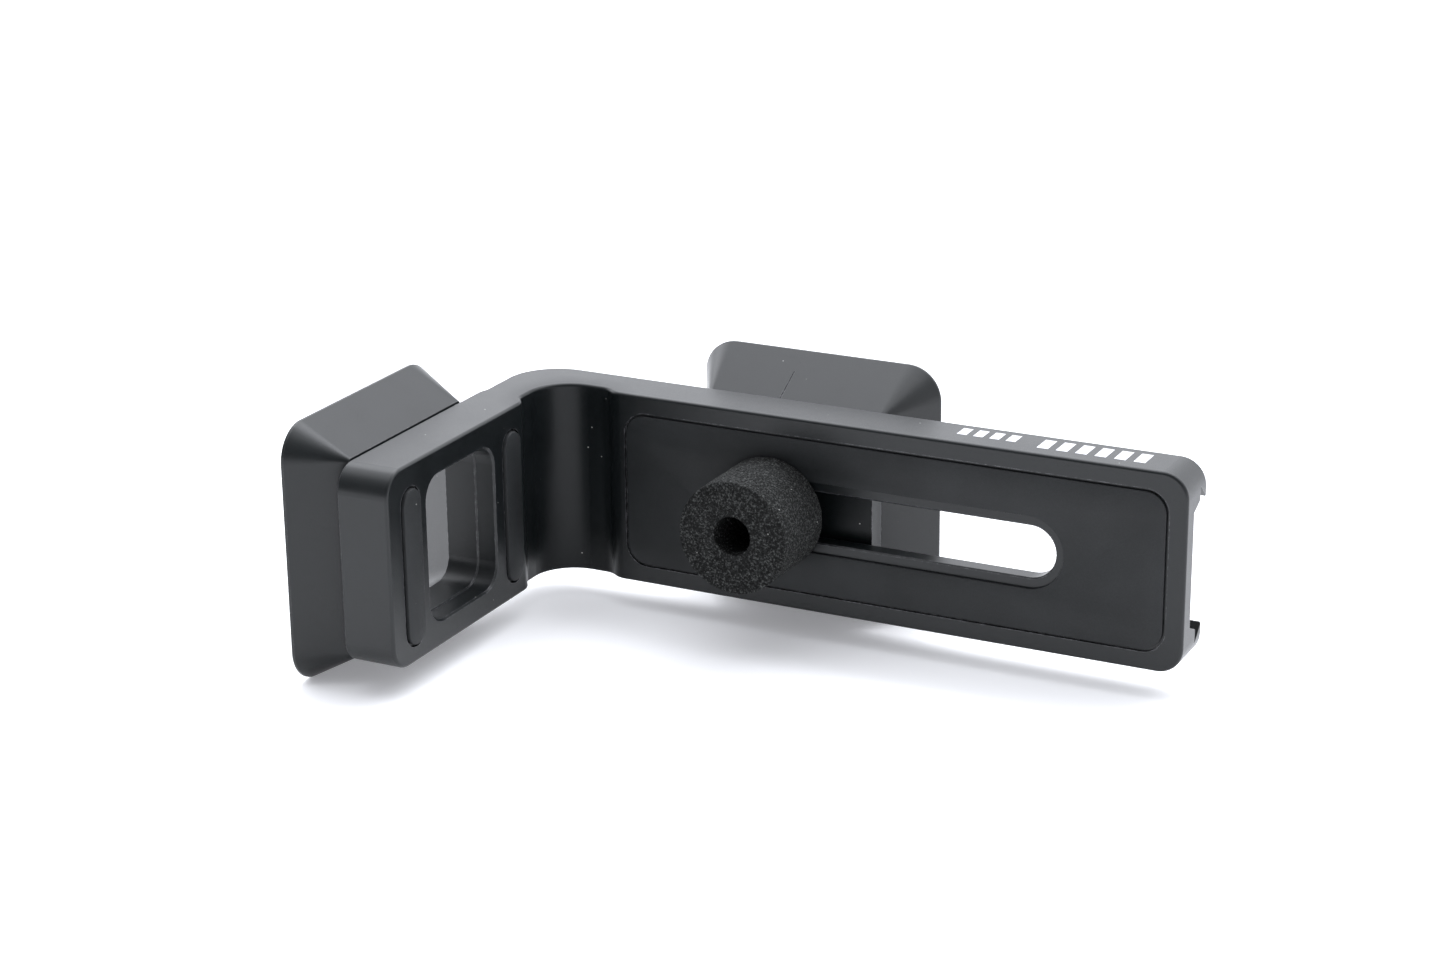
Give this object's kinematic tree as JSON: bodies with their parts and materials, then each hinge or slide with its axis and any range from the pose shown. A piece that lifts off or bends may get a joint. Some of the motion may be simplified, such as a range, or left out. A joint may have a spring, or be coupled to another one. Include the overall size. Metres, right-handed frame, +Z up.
{
  "type": "camera l-bracket",
  "caption": "Camera L-bracket with square dovetail shoes on both arms, a slotted long arm with a sliding camera screw, a windowed short arm, rubber pads and a foam screw cap.",
  "frame": {"origin": "middle of the bounding box's footprint, on the surface that the part stands on", "axes": "+X along the long arm towards its free end, +Y out of the clamping face of the base shoe, away from the camera, +Z up, across the width of the arms"},
  "size_m": [0.1504, 0.0844, 0.05],
  "materials": {
    "black_anodised": "fine bead-blasted black anodising",
    "pad_rubber": "matt moulded rubber",
    "adhesive_film": "matt film",
    "black_steel": "black oxide steel",
    "stainless_steel": "turned stainless steel",
    "foam": "closed-cell foam with an open cut surface"
  },
  "bodies": {
    "bracket": {"bracket_frame": "black_anodised", "base_pad": "pad_rubber", "base_pad_tape": "adhesive_film", "side_pad_end": "pad_rubber", "side_pad_end_tape": "adhesive_film", "side_pad_bend": "pad_rubber", "side_pad_bend_tape": "adhesive_film", "side_shoe": "black_anodised", "side_shoe_screws": "black_steel", "side_shoe_dowels": "stainless_steel"},
    "carriage": {"base_shoe": "black_anodised", "rail_slider": "black_anodised", "slider_screws": "black_steel", "screw_washer": "stainless_steel", "spring_washer": "stainless_steel"},
    "camera_screw": {"camera_screw": "stainless_steel", "retaining_clip": "stainless_steel"},
    "d_ring": {"d_ring": "stainless_steel"},
    "foam_cap": {"foam_cap": "foam"}
  },
  "joints": [
    {"name": "carriage_slide", "type": "slide", "parent": "bracket", "child": "carriage", "axis": [1, 0, 0], "range_m": [-0.0038, 0.0521]},
    {"name": "camera_screw_turn", "type": "hinge", "parent": "carriage", "child": "camera_screw", "pos_m": [-0.00677, 0.01897, 0.025], "axis": [0, 1, 0], "continuous": true},
    {"name": "d_ring_fold", "type": "hinge", "parent": "camera_screw", "child": "d_ring", "pos_m": [-0.00677, 0.03807, 0.025], "axis": [1, 0, 0], "range_deg": [0, 180]},
    {"name": "foam_cap_pull", "type": "slide", "parent": "camera_screw", "child": "foam_cap", "axis": [0, -1, 0], "range_m": [0, 0.02]}
  ]
}
